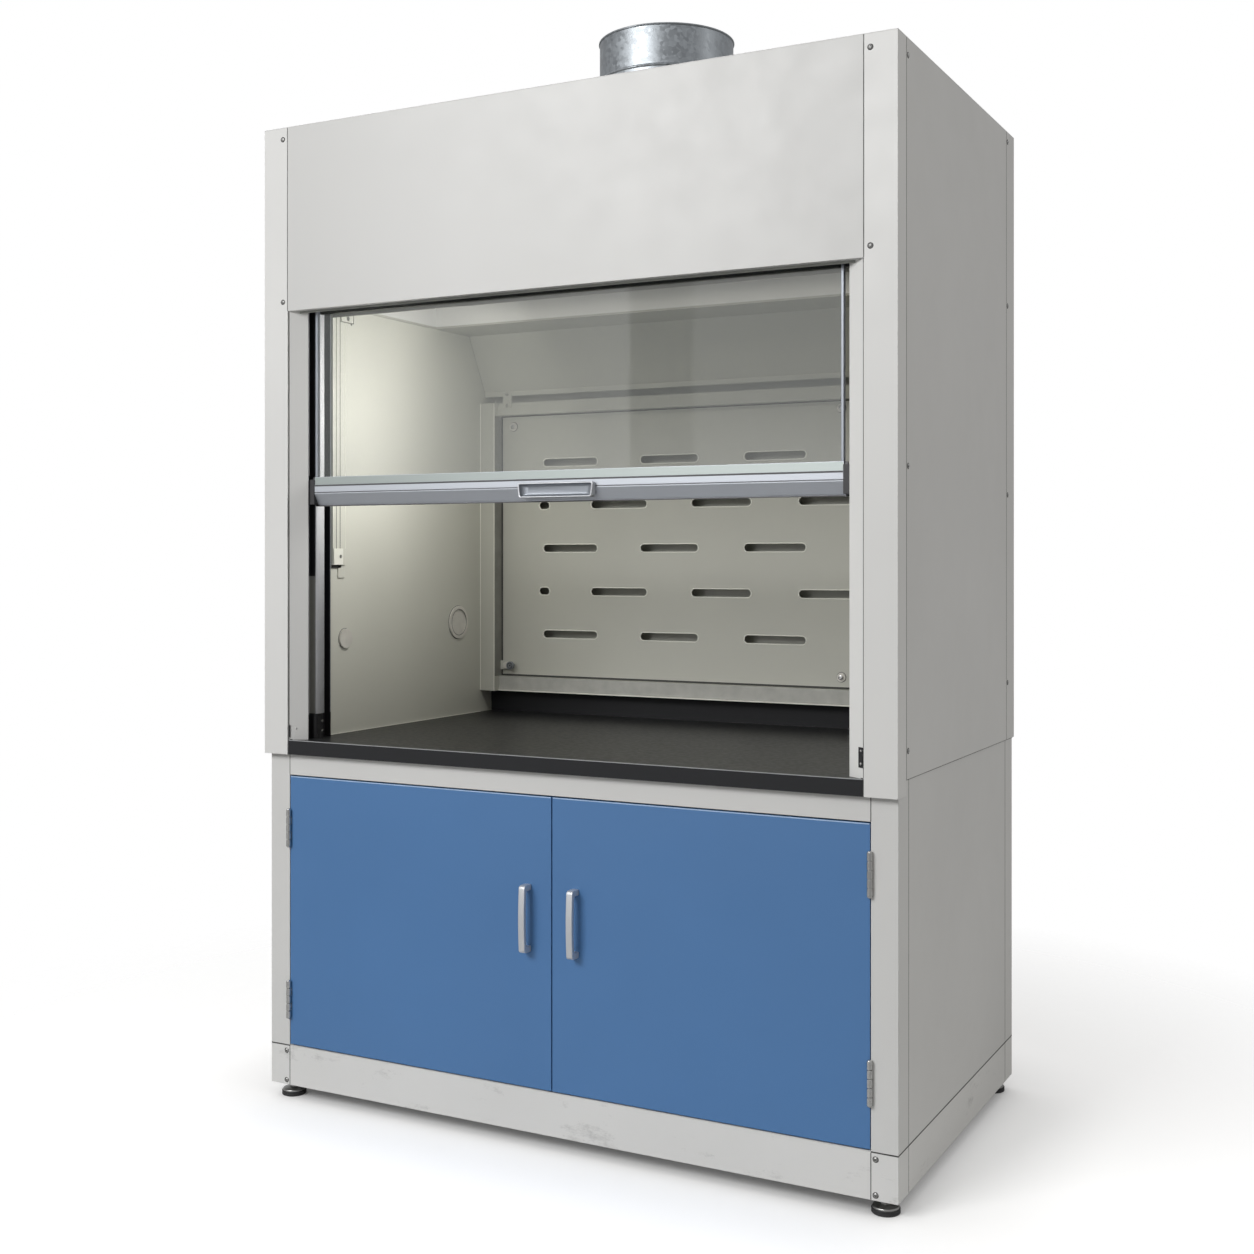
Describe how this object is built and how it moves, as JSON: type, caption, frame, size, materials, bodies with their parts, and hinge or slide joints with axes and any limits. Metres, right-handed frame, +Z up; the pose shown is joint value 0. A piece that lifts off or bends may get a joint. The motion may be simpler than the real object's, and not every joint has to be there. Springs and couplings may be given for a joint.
{
  "type": "chemical fume hood",
  "caption": "Walk-up chemical fume hood: counterbalanced glass sash, slotted baffle, dark worktop and roof collar on a two-door base cabinet with levelling feet.",
  "frame": {"origin": "on the floor, under the centre of the overall box", "axes": "+Z up, front towards -Y, +X to the right seen from the front"},
  "size_m": [1.5046, 0.878, 2.452],
  "materials": {
    "painted_body": "light warm grey powder coat, fine satin texture",
    "galvanised": "galvanised sheet with a soft spangle",
    "painted_inside": "off-white satin coat",
    "white_plastic": "off-white moulded plastic",
    "worktop_resin": "near-black cast resin, fine speckle, soft sheen",
    "anodised": "satin anodised",
    "black_plastic": "black moulded plastic",
    "lamp_body": "white enamel",
    "lamp_lens": "opal diffuser",
    "steel_rope": "twisted steel wire",
    "clear_glass": "clear safety glass",
    "iron": "dark cast block",
    "pulley_plastic": "dark nylon",
    "bright_steel": "zinc plated steel",
    "blue_paint": "mid blue powder coat, satin",
    "foot_rubber": "black rubber base under a metal disc"
  },
  "bodies": {
    "root": {"left_front_post": "painted_body", "right_front_post": "painted_body", "jamb_panels": "painted_body", "fascia_panel": "painted_body", "left_side_panel": "painted_body", "right_side_panel": "painted_body", "hood_rear_posts": "painted_body", "hood_back_panel": "painted_body", "roof_panel": "painted_body", "base_posts": "painted_body", "base_side_panels": "painted_body", "base_back_panel": "painted_body", "base_floor": "painted_body", "base_top_rail": "painted_body", "shelf": "painted_body", "plinth": "painted_body", "exhaust_collar": "galvanised", "exhaust_plenum": "galvanised", "pulley_brackets": "galvanised", "left_liner": "painted_inside", "right_liner": "painted_inside", "rear_liner": "painted_inside", "ceiling_panel": "painted_inside", "baffle_panel": "painted_inside", "upper_baffle": "painted_inside", "baffle_frame": "painted_inside", "liner_trims": "painted_inside", "baffle_fixings": "white_plastic", "liner_fittings": "white_plastic", "worktop": "worktop_resin", "sash_tracks": "anodised", "track_inserts": "black_plastic", "door_catches": "black_plastic", "lamp_housing": "lamp_body", "lamp_lens": "lamp_lens", "sash_cables": "steel_rope", "hinge_frame_halves": "bright_steel", "panel_screws": "bright_steel"},
    "sash": {"sash_rail": "anodised", "sash_grip": "anodised", "sash_stiles": "anodised", "sash_glass": "clear_glass", "sash_end_caps": "black_plastic"},
    "upper_sash": {"upper_sash_glass": "clear_glass", "upper_sash_frame": "anodised"},
    "left_counterweight": {"left_counterweight": "iron"},
    "right_counterweight": {"right_counterweight": "iron"},
    "left_pulley": {"left_pulley": "pulley_plastic"},
    "right_pulley": {"right_pulley": "pulley_plastic"},
    "left_door": {"left_door": "blue_paint", "left_door_hinges": "bright_steel", "left_door_handle": "anodised"},
    "right_door": {"right_door": "blue_paint", "right_door_hinges": "bright_steel", "right_door_handle": "anodised"},
    "baffle_latch": {"baffle_latch": "bright_steel"},
    "front_left_foot": {"front_left_foot": "foot_rubber"},
    "front_right_foot": {"front_right_foot": "foot_rubber"},
    "rear_left_foot": {"rear_left_foot": "foot_rubber"},
    "rear_right_foot": {"rear_right_foot": "foot_rubber"}
  },
  "joints": [
    {"name": "sash_slide", "type": "slide", "parent": "root", "child": "sash", "axis": [0, 0, 1], "range_m": [-0.526, 0.035]},
    {"name": "upper_sash_slide", "type": "slide", "parent": "root", "child": "upper_sash", "axis": [0, 0, 1], "range_m": [-0.263, 0.0175]},
    {"name": "left_counterweight_slide", "type": "slide", "parent": "root", "child": "left_counterweight", "axis": [0, 0, 1], "range_m": [-0.035, 0.526]},
    {"name": "right_counterweight_slide", "type": "slide", "parent": "root", "child": "right_counterweight", "axis": [0, 0, 1], "range_m": [-0.035, 0.526]},
    {"name": "left_pulley_turn", "type": "hinge", "parent": "root", "child": "left_pulley", "pos_m": [-0.6855, -0.37975, 2.15], "axis": [0, 1, 0], "range_deg": [-68, 1006]},
    {"name": "right_pulley_turn", "type": "hinge", "parent": "root", "child": "right_pulley", "pos_m": [0.6855, -0.37975, 2.15], "axis": [0, 1, 0], "range_deg": [-1006, 68]},
    {"name": "left_door_hinge", "type": "hinge", "parent": "root", "child": "left_door", "pos_m": [-0.691, -0.4085, 0.431], "axis": [0, 0, -1], "range_deg": [0, 110]},
    {"name": "right_door_hinge", "type": "hinge", "parent": "root", "child": "right_door", "pos_m": [0.691, -0.4085, 0.431], "axis": [0, 0, 1], "range_deg": [0, 110]},
    {"name": "baffle_latch_turn", "type": "hinge", "parent": "root", "child": "baffle_latch", "pos_m": [-0.577, 0.376, 0.945], "axis": [0, 1, 0], "range_deg": [0, 90]},
    {"name": "front_left_foot_screw", "type": "slide", "parent": "root", "child": "front_left_foot", "axis": [0, 0, 1], "range_m": [-0.015, 0]},
    {"name": "front_right_foot_screw", "type": "slide", "parent": "root", "child": "front_right_foot", "axis": [0, 0, 1], "range_m": [-0.015, 0]},
    {"name": "rear_left_foot_screw", "type": "slide", "parent": "root", "child": "rear_left_foot", "axis": [0, 0, 1], "range_m": [-0.015, 0]},
    {"name": "rear_right_foot_screw", "type": "slide", "parent": "root", "child": "rear_right_foot", "axis": [0, 0, 1], "range_m": [-0.015, 0]}
  ],
  "couplings": [
    {"joint": "upper_sash_slide", "follows": "sash_slide", "ratio": 0.5},
    {"joint": "left_counterweight_slide", "follows": "sash_slide", "ratio": -1},
    {"joint": "right_counterweight_slide", "follows": "sash_slide", "ratio": -1},
    {"joint": "left_pulley_turn", "follows": "sash_slide", "rad_per_m": -33.333},
    {"joint": "right_pulley_turn", "follows": "sash_slide", "rad_per_m": 33.333}
  ]
}
